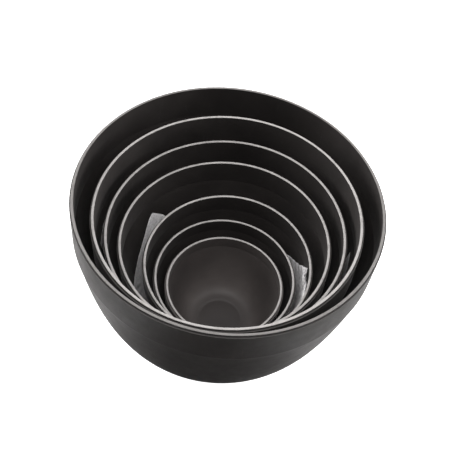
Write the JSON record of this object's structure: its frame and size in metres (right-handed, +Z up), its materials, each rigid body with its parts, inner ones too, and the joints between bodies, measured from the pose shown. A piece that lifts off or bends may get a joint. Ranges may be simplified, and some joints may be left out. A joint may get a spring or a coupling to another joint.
{
  "type": "nested hair color bowls",
  "caption": "Round matte bowls nested one inside the next for mixing hair colour, with thin separator sheets tucked between some of them.",
  "frame": {"origin": "centre of the underside of the largest bowl, on the surface that it stands on", "axes": "+Z up along the largest bowl's axis; -Y is the front, where the nested bowls lie against the wall; +X to the right"},
  "size_m": [0.24, 0.24, 0.1427],
  "materials": {
    "bowl_plastic": "satin matte, warm charcoal, lighter on the bare rims",
    "separator_sheet": "matte, pale grey, lightly creased"
  },
  "bodies": {
    "bowl_240": {"bowl_240": "bowl_plastic"},
    "bowl_207": {"bowl_207": "bowl_plastic"},
    "separator_sheet_large": {"separator_sheet_large": "separator_sheet"},
    "bowl_187": {"bowl_187": "bowl_plastic"},
    "bowl_164": {"bowl_164": "bowl_plastic"},
    "separator_sheet_medium": {"separator_sheet_medium": "separator_sheet"},
    "bowl_132": {"bowl_132": "bowl_plastic"},
    "separator_sheet_small": {"separator_sheet_small": "separator_sheet"},
    "bowl_112": {"bowl_112": "bowl_plastic"},
    "bowl_93": {"bowl_93": "bowl_plastic"}
  },
  "joints": [
    {"name": "bowl_207_lift", "type": "slide", "parent": "bowl_240", "child": "bowl_207", "axis": [0, 0, 1], "range_m": [0, 0.14]},
    {"name": "separator_sheet_large_lift", "type": "slide", "parent": "bowl_207", "child": "separator_sheet_large", "axis": [-0.0366, 0.0087, 0.9993], "range_m": [0, 0.135]},
    {"name": "bowl_187_lift", "type": "slide", "parent": "separator_sheet_large", "child": "bowl_187", "axis": [-0.0366, 0.0087, 0.9993], "range_m": [0, 0.11]},
    {"name": "bowl_164_lift", "type": "slide", "parent": "bowl_187", "child": "bowl_164", "axis": [-0.0488, -0.0244, 0.9985], "range_m": [0, 0.11]},
    {"name": "separator_sheet_medium_lift", "type": "slide", "parent": "bowl_164", "child": "separator_sheet_medium", "axis": [-0.0541, -0.0122, 0.9985], "range_m": [0, 0.102]},
    {"name": "bowl_132_lift", "type": "slide", "parent": "separator_sheet_medium", "child": "bowl_132", "axis": [-0.0541, -0.0122, 0.9985], "range_m": [0, 0.08]},
    {"name": "separator_sheet_small_lift", "type": "slide", "parent": "bowl_132", "child": "separator_sheet_small", "axis": [-0.0227, -0.0523, 0.9984], "range_m": [0, 0.083]},
    {"name": "bowl_112_lift", "type": "slide", "parent": "separator_sheet_small", "child": "bowl_112", "axis": [-0.0227, -0.0523, 0.9984], "range_m": [0, 0.08]},
    {"name": "bowl_93_lift", "type": "slide", "parent": "bowl_112", "child": "bowl_93", "axis": [-0.0087, -0.0593, 0.9982], "range_m": [0, 0.065]}
  ]
}
